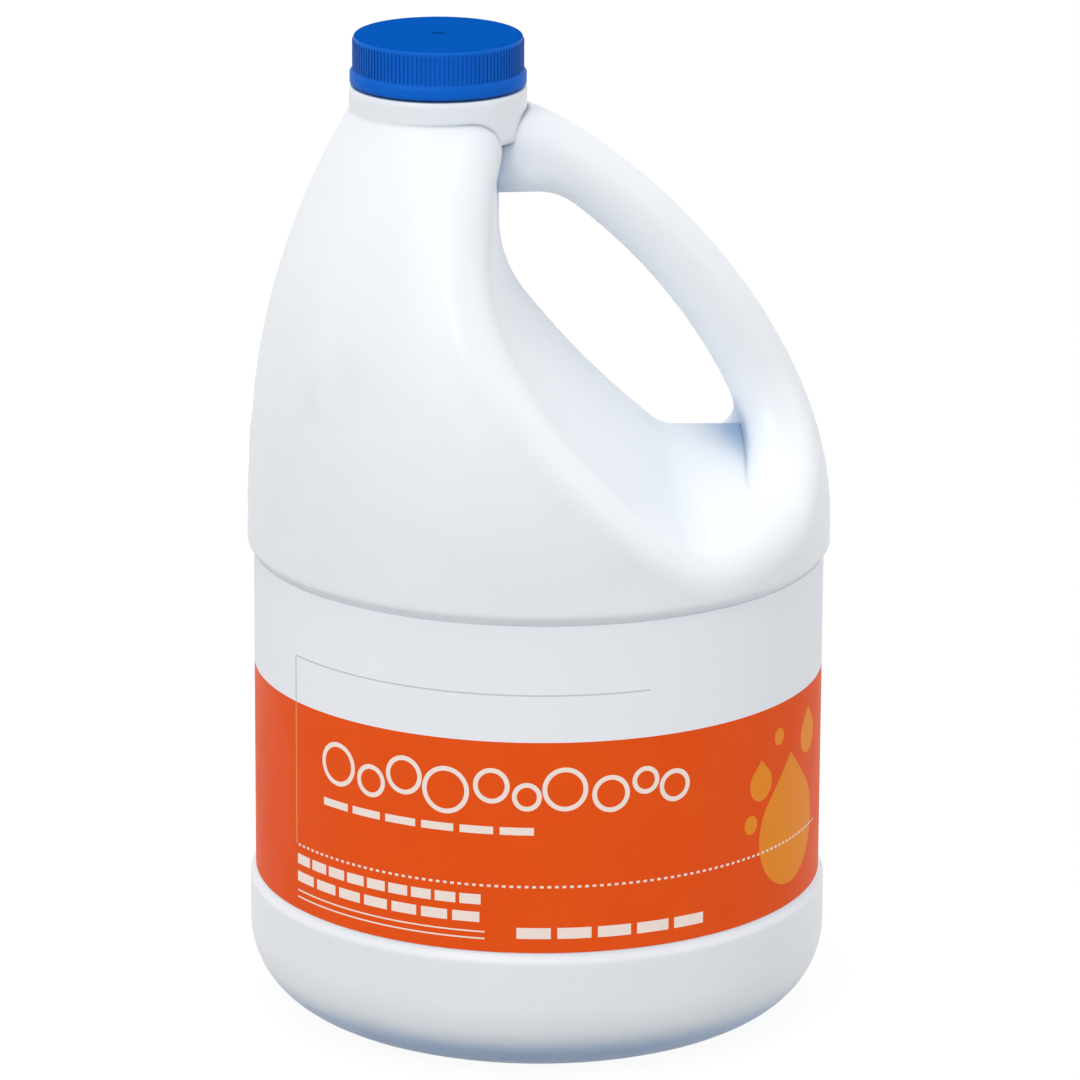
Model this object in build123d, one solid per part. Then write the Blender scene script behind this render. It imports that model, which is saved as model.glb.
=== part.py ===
from build123d import *

# Household bleach bottle of about 1.9 litres, with a screw cap.
# The bottle is one blow-moulded shell with a hollow through handle and an offset neck.
# Each half is modelled as one mould half would form it, then mirrored at the parting plane.
# Millimetres, +Z up, origin at the centre of the base, +X towards the handle.
import os
from math import hypot

# Body
wall = 1.0                      # blown wall
shoulder_radius = 67.0          # widest ring, over the label panel
shoulder_bottom = 110.5
panel_radius = 65.5             # recessed panel that carries the label
panel_bottom = 31.2
panel_top = 109.0
bead_radius = 66.8              # lower bead, under the label panel
bead_top = 29.8
corner_radius = 18.5            # big round corner at the base
stand_inner_radius = 38.5       # inner edge of the ring that the bottle stands on
pushup_edge = (34.5, 3.0)       # radius and height where the hollow under the base begins
pushup_height = 5.0
pushup_flat = 7.0               # radius of the flat middle of that hollow
panel_round = 0.8               # round edges of the panel
pinch_width = 1.4               # scar that the closed mould leaves across the base
pinch_height = 0.5
pinch_reach = 31.0

# Dome between the widest ring and the neck
dome_base = 111.5               # join of the body and the dome, below all shaping
dome_start = 116.0
dome_top = 212.0
dome_top_radius = 19.8          # a little inside the collar
neck_offset = 23.4              # neck axis, away from the handle
radius_power = 1.95             # how the dome's radius falls off with height
radius_round = 0.85
lean_power = 2.3                # how the side away from the handle leans in
dome_stations = (0.0, 0.12, 0.27, 0.42, 0.57, 0.7, 0.81, 0.9, 0.96, 1.0)

# Hand recess: its outline at the parting plane and at its far end
recess_reach = 72.0
recess_start = (-9.2, 186.0)
recess_far_start = (-20.4, 184.0)
recess_arcs = ((28.0, 38.0), (200.0, 12.0), (8.0, 37.0))       # radius, turn in degrees
recess_far_arcs = ((44.0, 36.0), (200.0, 16.0), (16.0, 34.0))
recess_top_radius = 12.0
recess_far_top_radius = 23.0
recess_floor_drop = 3.0
recess_ceiling = 211.0
recess_rim = 9.0                # round edge between the dome and the recess

# Handle
grip_half_width = 12.0
grip_underside = 193.0          # height of the handle's inner face beside the neck
grip_bend_x = -1.7              # where that face starts to bend down
grip_arcs = ((14.0, 38.0), (128.0, 28.5), (12.0, 52.5))        # radius, turn in degrees
grip_root_length = 22.0         # the handle's inner face goes on into the shoulder
grip_inner_round = 6.5
grip_outer_round = 7.0
flare_start = 154.0             # the handle's sides spread below this height
flare_radius = 26.0
flare_turn = 52.0
flare_length = 27.0

# Neck and its screw thread
collar_radius = 20.1
collar_bottom = 206.0           # inside the dome
collar_top = 216.9
collar_wall = 1.6
neck_top = 226.0
neck_round = 0.5
bore_radius = 15.4
finish_radius = 17.0
thread_pitch = 4.233
thread_turns = 1.2
thread_height = 1.1
thread_root_width = 2.0
thread_crest_width = 0.9
thread_start = 218.0            # middle of the neck's thread at its lower end
cap_thread_start = 218.9
thread_gap = 0.3                # radial clearance between the two threads
thread_bury = 0.3               # how far a thread's root goes into its wall

# Screw cap and its sealing disc
cap_top = 228.5
cap_bottom = 217.4
cap_radius = 19.2
cap_top_round = 0.9
skirt_radius = 20.0
skirt_height = 2.6
skirt_round = 0.4
rib_count = 120
rib_height = 0.2
rib_width = 0.5
rib_end = 1.2                   # the ribs stop this far under the cap's top
gate_radius = 1.6               # mark of the moulding gate in the middle of the top
gate_depth = 0.25
liner_thickness = 1.0
liner_gap = 0.3

# Label, a film wrapped once round the panel with an overlap at the back
label_thickness = 0.1
label_bottom = 31.75
label_top = 108.4
label_overlap = 9.0

# Worked out from the sizes above
neck_x = -neck_offset
thread_crest_radius = finish_radius + thread_height
cap_inner_radius = thread_crest_radius + thread_gap
liner_top = neck_top + liner_thickness
half_space = 4 * shoulder_radius


def front_half(shape):
    """The part of a shape on the side of -Y."""
    block = Pos(0, -half_space / 2, half_space / 2) * Box(half_space, half_space, 2 * half_space)
    return (shape & block).solids()[0]


def largest(shape):
    return max(shape.solids(), key=lambda solid: solid.volume)


def arc_chain(start, heading, arcs, side=1):
    """Arcs of given radius and turn, each tangent to the last one."""
    chain = []
    point = Vector(*start)
    heading = Vector(*heading)
    for radius, turn in arcs:
        chain.append(JernArc(point, heading, radius, side * turn))
        point = chain[-1] @ 1
        heading = chain[-1] % 1
    return chain


# Dome


def dome_radius(share):
    """Radius of the dome's round section at a share of its height."""
    fall = (1 - share ** radius_power) ** radius_round
    return dome_top_radius + (shoulder_radius - dome_top_radius) * fall


def dome_centre(share):
    """Place along X of that section's centre."""
    lean = shoulder_radius - dome_top_radius - neck_offset
    left = -shoulder_radius + lean * share ** lean_power
    return left + dome_radius(share)


def dome_envelope(inset):
    """Half of the dome before the hand recess is taken out."""
    rings = [Pos(0, 0, dome_base) * Rot(0, 0, 90) * Circle(shoulder_radius - inset)]
    for share in dome_stations:
        place = Pos(dome_centre(share), 0, dome_start + share * (dome_top - dome_start))
        rings.append(place * Rot(0, 0, 90) * Circle(dome_radius(share) - inset))
    return front_half(loft(rings))


def near_dome(point):
    """True for a point on the dome's outer face, or a wall's thickness inside it."""
    share = (point.Z - dome_start) / (dome_top - dome_start)
    share = min(max(share, 0.0), 1.0)
    from_axis = hypot(point.X - dome_centre(share), point.Y)
    return abs(from_axis - dome_radius(share)) < 1.6 * wall


def recess_outline(start, arcs, top_radius, inset):
    """Outline of the recess, seen along Y: body wall, floor and open far side."""
    x = start[0] - inset
    chain = arc_chain((x, start[1]), (0, -1), [(r + inset, turn) for r, turn in arcs])
    floor = chain[-1] @ 1
    ceiling = recess_ceiling + inset
    rise = Line((x, start[1]), (x, ceiling - top_radius - inset))
    bend = JernArc(rise @ 1, (0, 1), top_radius + inset, -90)
    far = 2 * shoulder_radius
    rest = Polyline(floor, (far, floor.Y - recess_floor_drop), (far, ceiling), bend @ 1)
    return Face(Wire([*chain, *rest.edges(), bend, rise]))


def recess(inset):
    """What the hand recess takes out of one half, with its draft."""
    near = recess_outline(recess_start, recess_arcs, recess_top_radius, inset)
    far = recess_outline(recess_far_start, recess_far_arcs, recess_far_top_radius, inset)
    return loft([Plane.XZ.offset(-2) * near, Plane.XZ.offset(recess_reach) * far], ruled=True)


def dome_core(envelope, inset):
    """One half of the dome with its hand recess, and the recess's round edge."""
    core = largest(envelope - recess(inset))

    def is_rim(edge):
        points = [edge @ share for share in (0.2, 0.5, 0.8)]
        inside = dome_start + wall < edge.center().Z < dome_top - 0.1
        return inside and all(near_dome(p) and p.Y < -wall for p in points)

    return core.fillet(recess_rim - inset, core.edges().filter_by(is_rim))


# Handle


def grip_opening(inset):
    """The space under the handle, seen along Y."""
    level = grip_underside + inset
    left = -half_space / 2
    start = Line((left, level), (grip_bend_x, level))
    arcs = [(r + inset, turn) for r, turn in grip_arcs]
    chain = arc_chain(start @ 1, (1, 0), arcs, -1)
    end = chain[-1] @ 1
    deep = end + (chain[-1] % 1) * grip_root_length
    rest = Polyline(end, deep, (deep.X, 0), (left, 0), (left, level))
    return Face(Wire([start, *chain, *rest.edges()]))


def grip_section(inset):
    """Half of the handle's width, seen along X, with the flare at its foot."""
    half = grip_half_width - inset
    top = dome_top + wall
    side = Line((-half, top), (-half, flare_start))
    flare = JernArc(side @ 1, (0, -1), flare_radius + inset, -flare_turn)
    foot = Line(flare @ 1, flare @ 1 + (flare % 1) * flare_length)
    rest = Polyline(foot @ 1, (0, (foot @ 1).Y), (0, top), (-half, top))
    return Face(Wire([side, flare, foot, *rest.edges()]))


def grip(envelope, inset):
    """One half of the handle: the dome's own outer face, and rounded sides."""
    half = grip_half_width - inset
    start = neck_x + collar_radius / 4
    bar = extrude(Plane.YZ.offset(start) * grip_section(inset), half_space / 2)
    opening = extrude(Plane.XZ * grip_opening(inset), half_space / 2, both=True)
    solid = largest(envelope & (bar - opening))

    def is_side(edge):
        """An edge along the handle's flat or flared side, other than a seam along X."""
        points = [edge @ share for share in (0.1, 0.5, 0.9)]
        level = abs(edge.center().Z - grip_underside - inset) < 0.1
        seam = edge.geom_type == GeomType.LINE and abs((edge % 0.5).X) > 0.99 and not level
        if seam or abs(edge.center().X - start) < 0.1:
            return False
        return all(abs(p.Y + half) < 0.02 or (p.Y < -half and p.Z < flare_start) for p in points)

    inner = solid.edges().filter_by(is_side).filter_by(lambda e: not near_dome(e.center()))
    solid = solid.fillet(grip_inner_round - inset, inner)
    outer = solid.edges().filter_by(is_side).filter_by(lambda e: near_dome(e.center()))
    return solid.fillet(grip_outer_round - inset, outer)


# Body and shell


def body_outline(inset):
    """Section of the body from the hollow under the base up to the widest ring."""
    bead = bead_radius - inset
    panel = panel_radius - inset
    ring = shoulder_radius - inset
    points = [
        (0, pushup_height + inset),
        (pushup_flat, pushup_height + inset),
        (pushup_edge[0], pushup_edge[1] + inset),
        (stand_inner_radius, inset),
        (bead, inset),
        (bead, bead_top - inset / 2),
        (panel, panel_bottom - inset / 2),
        (panel, panel_top + inset / 2),
        (ring, shoulder_bottom + inset / 2),
        (ring, dome_base),
        (0, dome_base),
    ]
    outline = make_face(Polyline(*points, close=True))
    rounds = {2: 3.0, 3: 1.5, 4: corner_radius - inset, 5: panel_round, 6: panel_round,
              7: panel_round, 8: panel_round / 2}
    for index, radius in rounds.items():
        corner = outline.vertices().sort_by_distance((*points[index], 0))[0]
        outline = fillet(corner, radius)
    return outline


def disc(radius, low, high):
    """A cylinder about Z between two heights."""
    return Pos(0, 0, low) * extrude(Circle(radius), high - low)


def on_neck(shape):
    return Pos(neck_x, 0, 0) * shape


def neck(inset):
    """Half of the collar and the finish, or of the way out through them."""
    if inset:
        collar = disc(collar_radius - inset, collar_bottom, collar_top - collar_wall)
        finish = disc(bore_radius, collar_bottom, neck_top + wall)
    else:
        collar = disc(collar_radius, collar_bottom, collar_top)
        collar = collar.fillet(neck_round, collar.edges().group_by(Axis.Z)[-1])
        finish = disc(finish_radius, collar_bottom, neck_top)
        finish = finish.fillet(neck_round, finish.edges().group_by(Axis.Z)[-1])
    return front_half(on_neck(collar + finish))


def body(inset):
    return front_half(revolve(Plane.XZ * body_outline(inset), Axis.Z))


def form(inset):
    """Half of the bottle's solid form up to the collar."""
    envelope = dome_envelope(inset)
    dome = dome_core(envelope, inset) + grip(envelope, inset)
    return largest(dome + body(inset) + neck(inset))


def thread(inner_radius, outer_radius, start, turn):
    """One screw thread about Z. The radii are of the root and of the crest."""
    path = Helix(thread_pitch, thread_pitch * thread_turns, inner_radius)
    frame = Plane(path @ 0, x_dir=(1, 0, 0), z_dir=path % 0)
    outward = 1 if outer_radius > inner_radius else -1
    reach = abs(outer_radius - inner_radius)
    root = thread_root_width / 2
    crest = thread_crest_width / 2
    points = [(-outward * thread_bury, -root), (0, -root), (outward * reach, -crest),
              (outward * reach, crest), (0, root), (-outward * thread_bury, root)]
    section = frame * make_face(Polyline(*points, close=True))
    ridge = sweep(section, path, is_frenet=True)
    return Pos(0, 0, start) * Rot(0, 0, turn) * ridge


def pinch():
    """The scar of the closed mould across the hollow under the base."""
    slope = (pushup_height - pushup_edge[1]) / (pushup_edge[0] - pushup_flat)
    end = pushup_height - slope * (pinch_reach - pushup_flat)
    line = [(-pinch_reach, end), (-pushup_flat, pushup_height),
            (pushup_flat, pushup_height), (pinch_reach, end)]
    lower = [(x, z - pinch_height) for x, z in line]
    upper = [(x, z + wall / 2) for x, z in reversed(line)]
    face = make_face(Polyline(*lower, *upper, close=True))
    return extrude(Plane.XZ * face, pinch_width / 2, both=True)


def bottle():
    half = form(0) - form(wall)
    shell = half + mirror(half, about=Plane.XZ)
    ridge = thread(finish_radius, thread_crest_radius, thread_start, 0)
    return largest(shell + on_neck(ridge) + pinch())


# Cap, sealing disc and label


def cap_body():
    """The cap turned as one section, before its ribs and thread."""
    points = [
        (0, liner_top),
        (cap_inner_radius, liner_top),
        (cap_inner_radius, cap_bottom),
        (skirt_radius, cap_bottom),
        (skirt_radius, cap_bottom + skirt_height),
        (cap_radius, cap_bottom + skirt_height + skirt_radius - cap_radius),
        (cap_radius, cap_top),
        (0, cap_top),
    ]
    outline = make_face(Polyline(*points, close=True))
    for index, radius in ((3, skirt_round), (4, skirt_round), (6, cap_top_round)):
        corner = outline.vertices().sort_by_distance((*points[index], 0))[0]
        outline = fillet(corner, radius)
    return revolve(Plane.XZ * outline, Axis.Z)


def cap():
    low = cap_bottom + skirt_height
    rib = Pos(cap_radius, 0) * Rectangle(2 * rib_height, rib_width)
    ring = Sketch() + [place * rib for place in PolarLocations(0, rib_count)]
    ribs = extrude(ring, cap_top - rib_end - low)
    gate = disc(gate_radius, cap_top - gate_depth, cap_top + gate_depth)
    turn = 360 * (cap_thread_start - thread_start) / thread_pitch - 180
    crest = finish_radius + thread_gap
    ridge = thread(cap_inner_radius, crest, cap_thread_start, turn)
    return on_neck(cap_body() + ridge - gate + Pos(0, 0, low) * ribs)


def cap_liner():
    return on_neck(disc(cap_inner_radius - liner_gap, neck_top, liner_top))


def label():
    """The film with its overlap, drawn flat and pulled up."""
    outer = panel_radius + label_thickness
    lap = Pos(0, panel_radius) * Rectangle(label_overlap, panel_radius)
    film = Circle(outer) + (Circle(outer + label_thickness) & lap) - Circle(panel_radius)
    return Pos(0, 0, label_bottom) * extrude(film, label_top - label_bottom)


os.makedirs("parts", exist_ok=True)
for make in (bottle, cap, cap_liner, label):
    export_step(make(), f"parts/{make.__name__}.step")
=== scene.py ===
import math

import bmesh
import bpy
from mathutils import Matrix, Vector

# Household bleach bottle: blow-moulded HDPE with a printed film label and a screw cap.
# Metres and the CAD frame: +Z up, +X towards the handle, the label's front faces -Y.

mm = 0.001

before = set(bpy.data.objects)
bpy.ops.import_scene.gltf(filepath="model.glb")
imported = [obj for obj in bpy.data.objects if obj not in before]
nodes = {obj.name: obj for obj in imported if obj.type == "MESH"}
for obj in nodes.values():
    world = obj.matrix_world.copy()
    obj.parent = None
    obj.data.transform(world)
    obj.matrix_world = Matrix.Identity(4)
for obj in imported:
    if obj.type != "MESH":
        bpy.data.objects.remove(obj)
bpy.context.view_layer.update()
print("frame loaded:", ", ".join(sorted(nodes)))


def linear(hexColour):
    # sRGB hex, as a paint program shows it, to Blender's linear colour
    channels = [int(hexColour[i:i + 2], 16) / 255 for i in (1, 3, 5)]
    return tuple(c / 12.92 if c <= 0.04045 else ((c + 0.055) / 1.055) ** 2.4 for c in channels) + (1.0,)


def addNode(tree, kind, settings=None, links=None):
    # settings are attributes of the node, links are its inputs: a value, or another socket
    node = tree.nodes.new(kind)
    for name, value in (settings or {}).items():
        setattr(node, name, value)
    for key, value in (links or {}).items():
        socket = node.inputs[key]
        if isinstance(value, bpy.types.NodeSocket):
            tree.links.new(value, socket)
        else:
            socket.default_value = value
    return node


def newMaterial(name):
    material = bpy.data.materials.new(name)
    material.use_nodes = True
    material.node_tree.nodes.clear()
    return material, material.node_tree


def finishMaterial(tree, shader):
    addNode(tree, "ShaderNodeOutputMaterial", links={"Surface": shader.outputs["BSDF"]})


def giveMaterial(obj, material):
    for slot in obj.material_slots:
        slot.link = "OBJECT"
        slot.material = material
    if not obj.material_slots:
        obj.data.materials.append(material)


# Blow-moulded HDPE: milky and satin, with a soft orange-peel skin. Its hollows and corners
# get a painted bluish shade. The mould's parting line shows as a fine raised
# seam in the plane of the handle.
bottleLook = {
    "white": "#f3f7fc",
    "cool": "#e9eff7",
    "cloudSize": 38 * mm,           # the wall's thickness varies this slowly
    # painted shade: the bluish grey put into hollows and corners
    "hollow": "#8cacd0",
    "hollowReach": 16 * mm,
    "hollowStart": 0.85,            # share of open sky at which the painted shade begins
    "hollowFull": 0.35,             # and at which it is full
    "roughness": 0.38,
    "softEdge": 2.2 * mm,           # blown corners have no sharp edge
    "peelSize": 2.2 * mm,
    "gritSize": 0.5 * mm,
    "glowDepth": 3.0 * mm,          # how far light spreads in the wall
    "seamWidth": 0.45 * mm,
    "seamHeight": 0.12 * mm,
}


def bottlePlastic():
    material, tree = newMaterial("blow moulded HDPE")
    place = addNode(tree, "ShaderNodeTexCoord").outputs["Object"]
    axes = addNode(tree, "ShaderNodeSeparateXYZ", links={0: place})
    cloud = addNode(tree, "ShaderNodeTexNoise", links={
        "Vector": place, "Scale": 1 / bottleLook["cloudSize"], "Detail": 2.0, "Roughness": 0.5})
    tint = addNode(tree, "ShaderNodeMix", {"data_type": "RGBA"}, {
        "Factor": cloud.outputs["Fac"], 6: linear(bottleLook["white"]), 7: linear(bottleLook["cool"])})
    # painted shade: ambient occlusion darkens hollows, corners and the foot towards bluish grey
    openness = addNode(tree, "ShaderNodeAmbientOcclusion", {"samples": 6}, {
        "Distance": bottleLook["hollowReach"]})
    paintedShadeAmount = addNode(tree, "ShaderNodeMapRange", {"interpolation_type": "SMOOTHSTEP"}, {
        "Value": openness.outputs["AO"], "From Min": bottleLook["hollowStart"],
        "From Max": bottleLook["hollowFull"], "To Min": 0.0, "To Max": 1.0})
    paintedShadeColour = addNode(tree, "ShaderNodeMix", {"data_type": "RGBA"}, {
        "Factor": paintedShadeAmount.outputs[0], 6: tint.outputs[2], 7: linear(bottleLook["hollow"])})
    peel = addNode(tree, "ShaderNodeTexNoise", links={
        "Vector": place, "Scale": 1 / bottleLook["peelSize"], "Detail": 3.0, "Roughness": 0.55})
    grit = addNode(tree, "ShaderNodeTexNoise", links={
        "Vector": place, "Scale": 1 / bottleLook["gritSize"], "Detail": 2.0, "Roughness": 0.6})
    skin = addNode(tree, "ShaderNodeMath", {"operation": "MULTIPLY_ADD"}, {
        0: grit.outputs["Fac"], 1: 0.25, 2: peel.outputs["Fac"]})
    # a soft ridge where the two mould halves met
    off = addNode(tree, "ShaderNodeMath", {"operation": "ABSOLUTE"}, {0: axes.outputs["Y"]})
    ridge = addNode(tree, "ShaderNodeMapRange", {"interpolation_type": "SMOOTHSTEP"}, {
        "Value": off.outputs[0], "From Min": 0.0, "From Max": bottleLook["seamWidth"],
        "To Min": 1.0, "To Max": 0.0})
    soft = addNode(tree, "ShaderNodeBevel", {"samples": 6}, {"Radius": bottleLook["softEdge"]})
    skinBump = addNode(tree, "ShaderNodeBump", links={
        "Strength": 0.1, "Distance": 0.25 * mm, "Height": skin.outputs[0], "Normal": soft.outputs[0]})
    seamBump = addNode(tree, "ShaderNodeBump", links={
        "Strength": 0.6, "Distance": bottleLook["seamHeight"], "Height": ridge.outputs[0],
        "Normal": skinBump.outputs["Normal"]})
    polish = addNode(tree, "ShaderNodeMapRange", links={
        "Value": peel.outputs["Fac"], "From Min": 0.3, "From Max": 0.7,
        "To Min": bottleLook["roughness"] - 0.05, "To Max": bottleLook["roughness"] + 0.06})
    shader = addNode(tree, "ShaderNodeBsdfPrincipled", {"subsurface_method": "RANDOM_WALK"}, {
        "Base Color": paintedShadeColour.outputs[2], "Roughness": polish.outputs[0], "IOR": 1.53,
        "Subsurface Weight": 0.35, "Subsurface Radius": (1.0, 1.0, 1.0),
        "Subsurface Scale": bottleLook["glowDepth"],
        "Normal": seamBump.outputs["Normal"]})
    finishMaterial(tree, shader)
    return material


# Injection-moulded polypropylene: saturated blue, glossier than the bottle, with faint
# flow marks. Its top shows the turned finish of the mould as fine rings; its deeper blue is painted shade.
capLook = {
    "blue": "#0766d0",
    "deep": "#055abe",
    "turned": "#0650a8",            # painted shade: the top deeper blue than the wall, to match the photo
    "roughness": 0.42,
    "shine": 0.08,
    "softEdge": 1.6 * mm,           # rounds the shading of edges and ribs, which still show
    "axisX": -23.4 * mm,
    "top": 228.5 * mm,
    "topDepth": 0.3 * mm,           # what lies within this of the top counts as the top
    "ringSpacing": 0.55 * mm,
    "flowSize": 9 * mm,
    "grainSize": 0.6 * mm,
}


def capPlastic():
    material, tree = newMaterial("injection moulded polypropylene")
    place = addNode(tree, "ShaderNodeTexCoord").outputs["Object"]
    flow = addNode(tree, "ShaderNodeTexNoise", links={
        "Vector": place, "Scale": 1 / capLook["flowSize"], "Detail": 3.0, "Roughness": 0.5})
    tint = addNode(tree, "ShaderNodeMix", {"data_type": "RGBA"}, {
        "Factor": flow.outputs["Fac"], 6: linear(capLook["blue"]), 7: linear(capLook["deep"])})
    # rings about the cap's axis, seen only on its top
    centred = addNode(tree, "ShaderNodeMapping", links={
        "Vector": place, "Location": (-capLook["axisX"], 0.0, 0.0), "Scale": (1.0, 1.0, 0.0)})
    radius = addNode(tree, "ShaderNodeVectorMath", {"operation": "LENGTH"}, {0: centred.outputs[0]})
    turns = addNode(tree, "ShaderNodeMath", {"operation": "MULTIPLY"}, {
        0: radius.outputs["Value"], 1: 2 * math.pi / capLook["ringSpacing"]})
    wave = addNode(tree, "ShaderNodeMath", {"operation": "SINE"}, {0: turns.outputs[0]})
    height = addNode(tree, "ShaderNodeSeparateXYZ", links={0: place}).outputs["Z"]
    onTop = addNode(tree, "ShaderNodeMath", {"operation": "GREATER_THAN"}, {
        0: height, 1: capLook["top"] - capLook["topDepth"]})
    rings = addNode(tree, "ShaderNodeMath", {"operation": "MULTIPLY"}, {
        0: wave.outputs[0], 1: onTop.outputs[0]})
    # painted shade: the top takes the deeper blue
    colour = addNode(tree, "ShaderNodeMix", {"data_type": "RGBA"}, {
        "Factor": onTop.outputs[0], 6: tint.outputs[2], 7: linear(capLook["turned"])})
    grain = addNode(tree, "ShaderNodeTexNoise", links={
        "Vector": place, "Scale": 1 / capLook["grainSize"], "Detail": 2.0})
    soft = addNode(tree, "ShaderNodeBevel", {"samples": 6}, {"Radius": capLook["softEdge"]})
    ringBump = addNode(tree, "ShaderNodeBump", links={
        "Strength": 0.12, "Distance": 0.05 * mm, "Height": rings.outputs[0], "Normal": soft.outputs[0]})
    bump = addNode(tree, "ShaderNodeBump", links={
        "Strength": 0.1, "Distance": 0.1 * mm, "Height": grain.outputs["Fac"],
        "Normal": ringBump.outputs["Normal"]})
    # no shine on the top, where a flat view of it would mirror the white backdrop
    gloss = addNode(tree, "ShaderNodeMath", {"operation": "MULTIPLY_ADD"}, {
        0: onTop.outputs[0], 1: -capLook["shine"], 2: capLook["shine"]})
    polish = addNode(tree, "ShaderNodeMapRange", links={
        "Value": flow.outputs["Fac"], "From Min": 0.3, "From Max": 0.7,
        "To Min": capLook["roughness"], "To Max": capLook["roughness"] + 0.08})
    shader = addNode(tree, "ShaderNodeBsdfPrincipled", links={
        "Base Color": colour.outputs[2], "Roughness": polish.outputs[0], "IOR": 1.49,
        "Specular IOR Level": gloss.outputs[0], "Subsurface Weight": 0.06,
        "Subsurface Scale": 1.0 * mm, "Normal": bump.outputs["Normal"]})
    finishMaterial(tree, shader)
    return material


# Foamed polyethylene disc: off-white, matt, with fine closed cells.
linerLook = {
    "cellWall": "#e8e7e2",
    "cellFloor": "#f4f3ef",
    "cellSize": 0.7 * mm,
    "roughness": 0.75,
}


def linerFoam():
    material, tree = newMaterial("foamed polyethylene")
    place = addNode(tree, "ShaderNodeTexCoord").outputs["Object"]
    cells = addNode(tree, "ShaderNodeTexVoronoi", links={
        "Vector": place, "Scale": 1 / linerLook["cellSize"]})
    tint = addNode(tree, "ShaderNodeMix", {"data_type": "RGBA"}, {
        "Factor": cells.outputs["Distance"],
        6: linear(linerLook["cellWall"]), 7: linear(linerLook["cellFloor"])})
    bump = addNode(tree, "ShaderNodeBump", links={
        "Strength": 0.4, "Distance": 0.15 * mm, "Height": cells.outputs["Distance"]})
    shader = addNode(tree, "ShaderNodeBsdfPrincipled", links={
        "Base Color": tint.outputs[2], "Roughness": linerLook["roughness"], "IOR": 1.5,
        "Normal": bump.outputs["Normal"]})
    finishMaterial(tree, shader)
    return material


# Printed polypropylene film: white above, orange below, plain generic print in white and amber.
# Places are in millimetres: along the label from the middle of its front, and height.
labelLook = {
    "radius": 65.6,
    "white": "#edf0f5",
    "orange": "#ec5712",
    "orangeDeep": "#e74f0d",
    "amber": "#ee8f26",
    "orangePale": "#ea8a5c",
    "pale": "#f6e6dc",
    "grey": "#c6cbcd",
    "orangeTop": 81.35,
    "dotPitch": 1.7,
    "blotchSize": 14 * mm,
    "rippleSize": 11 * mm,
    "roughness": 0.48,
    "shine": 0.12,
}


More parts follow.
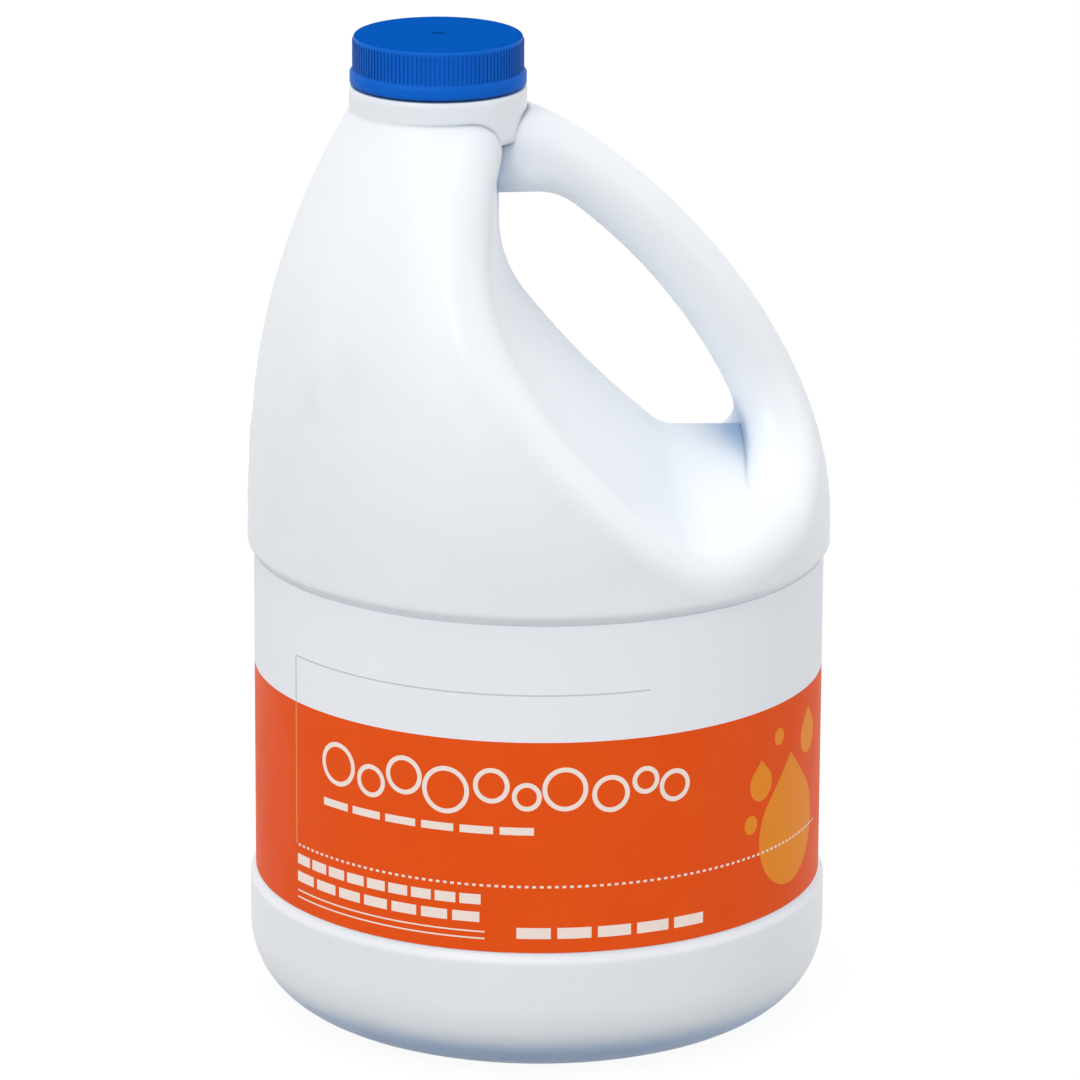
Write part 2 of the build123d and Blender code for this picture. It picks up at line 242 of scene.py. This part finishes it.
def labelFilm():
    material, tree = newMaterial("printed polypropylene film")
    place = addNode(tree, "ShaderNodeTexCoord").outputs["Object"]
    axes = addNode(tree, "ShaderNodeSeparateXYZ", links={0: place})
    towards = addNode(tree, "ShaderNodeMath", {"operation": "MULTIPLY"}, {0: axes.outputs["Y"], 1: -1.0})
    angle = addNode(tree, "ShaderNodeMath", {"operation": "ARCTAN2"}, {
        0: axes.outputs["X"], 1: towards.outputs[0]})
    along = addNode(tree, "ShaderNodeMath", {"operation": "MULTIPLY"}, {
        0: angle.outputs[0], 1: labelLook["radius"]}).outputs[0]
    height = addNode(tree, "ShaderNodeMath", {"operation": "MULTIPLY"}, {
        0: axes.outputs["Z"], 1: 1000.0}).outputs[0]
    flat = addNode(tree, "ShaderNodeCombineXYZ", links={0: along, 1: height}).outputs[0]

    def math2(operation, a, b, c=None):
        links = {0: a, 1: b} if c is None else {0: a, 1: b, 2: c}
        return addNode(tree, "ShaderNodeMath", {"operation": operation}, links).outputs[0]

    def bar(x, z, width, tall):
        return math2("MULTIPLY", math2("COMPARE", along, x, width / 2), math2("COMPARE", height, z, tall / 2))

    def smallPrint(x, z, width, tall, words):
        # a line of small print as a row of bars, one for each word
        fromStart = math2("SUBTRACT", along, x - width / 2)
        beat = math2("FRACT", math2("MULTIPLY", fromStart, words / width), 0.0)
        return math2("MULTIPLY", bar(x, z, width, tall), math2("LESS_THAN", beat, 0.84))

    def fromPoint(x, z):
        away = addNode(tree, "ShaderNodeVectorMath", {"operation": "DISTANCE"}, {0: flat, 1: (x, z, 0.0)})
        return away.outputs["Value"]

    def dot(x, z, radius):
        return math2("LESS_THAN", fromPoint(x, z), radius)

    def ring(x, z, radius, line):
        return math2("COMPARE", fromPoint(x, z), radius, line / 2)

    def drop(x, z, radius):
        # a round drop with its tip up: a disc, and a square turned to stand on its corner
        turned = addNode(tree, "ShaderNodeMapping", {"vector_type": "TEXTURE"}, {
            "Vector": flat, "Location": (x, z, 0.0), "Rotation": (0.0, 0.0, math.radians(45))})
        sides = addNode(tree, "ShaderNodeSeparateXYZ", links={0: turned.outputs[0]})
        square = math2("MULTIPLY", math2("COMPARE", sides.outputs["X"], radius / 2, radius / 2),
                       math2("COMPARE", sides.outputs["Y"], radius / 2, radius / 2))
        return math2("MAXIMUM", dot(x, z, radius), square)

    def both(masks):
        total = masks[0]
        for mask in masks[1:]:
            total = math2("MAXIMUM", total, mask)
        return total

    def paint(under, mask, colour):
        return addNode(tree, "ShaderNodeMix", {"data_type": "RGBA"}, {
            "Factor": mask, 6: under, 7: linear(colour)}).outputs[2]

    # ink varies a little over the sheet
    blotch = addNode(tree, "ShaderNodeTexNoise", links={
        "Vector": place, "Scale": 1 / labelLook["blotchSize"], "Detail": 3.0, "Roughness": 0.6})
    orange = addNode(tree, "ShaderNodeMix", {"data_type": "RGBA"}, {
        "Factor": blotch.outputs["Fac"], 6: linear(labelLook["orange"]), 7: linear(labelLook["orangeDeep"])})
    field = math2("LESS_THAN", height, labelLook["orangeTop"])
    colour = addNode(tree, "ShaderNodeMix", {"data_type": "RGBA"}, {
        "Factor": field, 6: linear(labelLook["white"]), 7: orange.outputs[2]}).outputs[2]

    # amber drops at the right of the front
    amber = both([drop(63.0, 50.0, 13.0), drop(73.0, 70.0, 4.6), drop(50.5, 64.0, 4.0), dot(57.5, 73.5, 2.0),
                  dot(47.0, 55.0, 2.2)])
    colour = paint(colour, amber, labelLook["amber"])

    # a row of bubbles where a title would stand, and thin bars for small print
    bubbles = [(-57, 70.2, 4.6), (-47.3, 68.4, 3.3), (-38.6, 71.3, 4.0), (-28.4, 69.2, 5.0),
               (-17.8, 71.0, 3.6), (-9.8, 68.6, 2.8), (-1.2, 70.4, 4.6), (9.2, 68.9, 3.8),
               (17.4, 71.3, 2.7), (24.6, 69.2, 3.3)]
    pale = [ring(x, z, r, 1.1) for x, z, r in bubbles]
    pale += [smallPrint(-34.2, 60.5, 55, 1.8, 6)]
    pale += [smallPrint(-45.5, 44.0, 52.6, 2.4, 9), smallPrint(-45.5, 39.8, 52.6, 2.4, 7),
             bar(-45.5, 36.4, 52.6, 0.35), bar(-45.5, 34.8, 52.6, 0.35)]
    pale += [smallPrint(11.0, 36.4, 46, 2.6, 5)]
    colour = paint(colour, both(pale), labelLook["pale"])

    # dotted rule across the front
    beat = math2("FRACT", math2("DIVIDE", along, labelLook["dotPitch"]), 0.0)
    dots = math2("MULTIPLY", math2("LESS_THAN", beat, 0.5), bar(3.4, 47.4, 151, 0.55))
    colour = paint(colour, dots, labelLook["pale"])

    # hairline frame, grey on the white and a paler orange on the orange
    line = addNode(tree, "ShaderNodeMix", {"data_type": "RGBA"}, {
        "Factor": field, 6: linear(labelLook["grey"]), 7: linear(labelLook["orangePale"])})
    hair = both([bar(-27.0, 92.3, 90.4, 0.35), bar(-72.2, 69.9, 0.5, 44.8)])
    colour = addNode(tree, "ShaderNodeMix", {"data_type": "RGBA"}, {
        "Factor": hair, 6: colour, 7: line.outputs[2]}).outputs[2]

    ripple = addNode(tree, "ShaderNodeTexNoise", links={
        "Vector": place, "Scale": 1 / labelLook["rippleSize"], "Detail": 2.0, "Roughness": 0.45})
    bump = addNode(tree, "ShaderNodeBump", links={
        "Strength": 0.25, "Distance": 0.1 * mm, "Height": ripple.outputs["Fac"]})
    polish = addNode(tree, "ShaderNodeMapRange", links={
        "Value": blotch.outputs["Fac"], "From Min": 0.3, "From Max": 0.7,
        "To Min": labelLook["roughness"], "To Max": labelLook["roughness"] + 0.07})
    shader = addNode(tree, "ShaderNodeBsdfPrincipled", links={
        "Base Color": colour, "Roughness": polish.outputs[0], "IOR": 1.49,
        "Specular IOR Level": labelLook["shine"], "Normal": bump.outputs["Normal"]})
    finishMaterial(tree, shader)
    return material


looks = {"bottle": bottlePlastic, "cap": capPlastic, "cap_liner": linerFoam, "label": labelFilm}
for name, make in looks.items():
    giveMaterial(nodes[name], make())
print("materials assigned")

# Studio: a white floor that runs out of view, soft light, and the photo's camera
studio = {
    "floorSize": 8.0,
    "floorDrop": 0.05 * mm,         # the floor lies this far under the bottle
    "paper": "#bcbcbc",             # as the bottle sees it
    "paperGlow": 0.85,              # share of plain white as the camera sees it
    "skyLight": 0.77,
    "keyPower": 11.3,
    "topPower": 7.0,
    "fillPower": 3.0,
    "target": (0.0, 0.0, 0.12),
}

# the photo's camera, fitted to the bottle's outline
photoView = {
    "turn": 6.5,
    "down": 16.46,
    "roll": 0.31,
    "distance": 1507.4 * mm,
    "height": 554.4 * mm,
    "sensor": 36.0,
    "lens": 227.45,
    "shift": 0.0011,
}


def seenRays(tree):
    # rays that show the backdrop: to the camera, off a shiny face or through a clear one
    path = addNode(tree, "ShaderNodeLightPath").outputs
    sight = addNode(tree, "ShaderNodeMath", {"operation": "MAXIMUM"}, {
        0: path["Is Camera Ray"], 1: path["Is Transmission Ray"]})
    return addNode(tree, "ShaderNodeMath", {"operation": "MAXIMUM"}, {
        0: sight.outputs[0], 1: path["Is Glossy Ray"]}).outputs[0]


def makeFloor():
    mesh = bpy.data.meshes.new("floor")
    bm = bmesh.new()
    bmesh.ops.create_grid(bm, x_segments=1, y_segments=1, size=studio["floorSize"] / 2)
    bmesh.ops.translate(bm, verts=bm.verts, vec=(0.0, 0.0, -studio["floorDrop"]))
    bm.to_mesh(mesh)
    bm.free()
    floor = bpy.data.objects.new("floor", mesh)
    bpy.context.scene.collection.objects.link(floor)
    material, tree = newMaterial("white studio paper")
    paper = addNode(tree, "ShaderNodeBsdfPrincipled", links={
        "Base Color": linear(studio["paper"]), "Roughness": 0.9})
    glow = addNode(tree, "ShaderNodeEmission", links={"Color": (1, 1, 1, 1), "Strength": 1.1})
    seen = addNode(tree, "ShaderNodeMath", {"operation": "MULTIPLY"}, {
        0: seenRays(tree), 1: studio["paperGlow"]})
    mix = addNode(tree, "ShaderNodeMixShader", links={
        0: seen.outputs[0], 1: paper.outputs["BSDF"], 2: glow.outputs[0]})
    addNode(tree, "ShaderNodeOutputMaterial", links={"Surface": mix.outputs[0]})
    mesh.materials.append(material)


def makeWorld():
    world = bpy.data.worlds.new("studio")
    world.use_nodes = True
    tree = world.node_tree
    tree.nodes.clear()
    light = addNode(tree, "ShaderNodeBackground", links={
        "Color": (1, 1, 1, 1), "Strength": studio["skyLight"]})
    white = addNode(tree, "ShaderNodeBackground", links={"Color": (1, 1, 1, 1), "Strength": 1.0})
    mix = addNode(tree, "ShaderNodeMixShader", links={
        0: seenRays(tree), 1: light.outputs[0], 2: white.outputs[0]})
    addNode(tree, "ShaderNodeOutputWorld", links={"Surface": mix.outputs[0]})
    bpy.context.scene.world = world


def makeLamp(name, place, size, power, colour):
    lamp = bpy.data.lights.new(name, "AREA")
    lamp.shape = "RECTANGLE"
    lamp.size, lamp.size_y = size
    lamp.energy = power
    lamp.color = linear(colour)[:3]
    obj = bpy.data.objects.new(name, lamp)
    bpy.context.scene.collection.objects.link(obj)
    obj.location = place
    aim = Vector(studio["target"]) - Vector(place)
    obj.rotation_euler = aim.to_track_quat("-Z", "Y").to_euler()


def makeCamera():
    camera = bpy.data.objects.new("camera", bpy.data.cameras.new("camera"))
    bpy.context.scene.collection.objects.link(camera)
    turn, down, roll = (math.radians(photoView[part]) for part in ("turn", "down", "roll"))
    distance = photoView["distance"]
    place = Matrix.Translation((-distance * math.sin(turn), -distance * math.cos(turn), photoView["height"]))
    camera.matrix_world = (place @ Matrix.Rotation(-turn, 4, "Z")
                           @ Matrix.Rotation(math.radians(90) - down, 4, "X") @ Matrix.Rotation(roll, 4, "Z"))
    camera.data.sensor_width = photoView["sensor"]
    camera.data.lens = photoView["lens"]
    camera.data.shift_x = photoView["shift"]
    camera.data.clip_start, camera.data.clip_end = 0.05, 50.0
    bpy.context.scene.camera = camera


makeFloor()
makeWorld()
makeLamp("key softbox", (-0.9, -1.3, 1.5), (0.5, 0.9), studio["keyPower"], "#ffffff")
makeLamp("top softbox", (-0.2, 0.1, 1.6), (1.2, 1.2), studio["topPower"], "#ffffff")
makeLamp("fill softbox", (1.5, -0.7, 0.8), (0.9, 1.2), studio["fillPower"], "#f4f8ff")
makeCamera()
bpy.context.scene.view_settings.view_transform = "Standard"
print("studio ready")
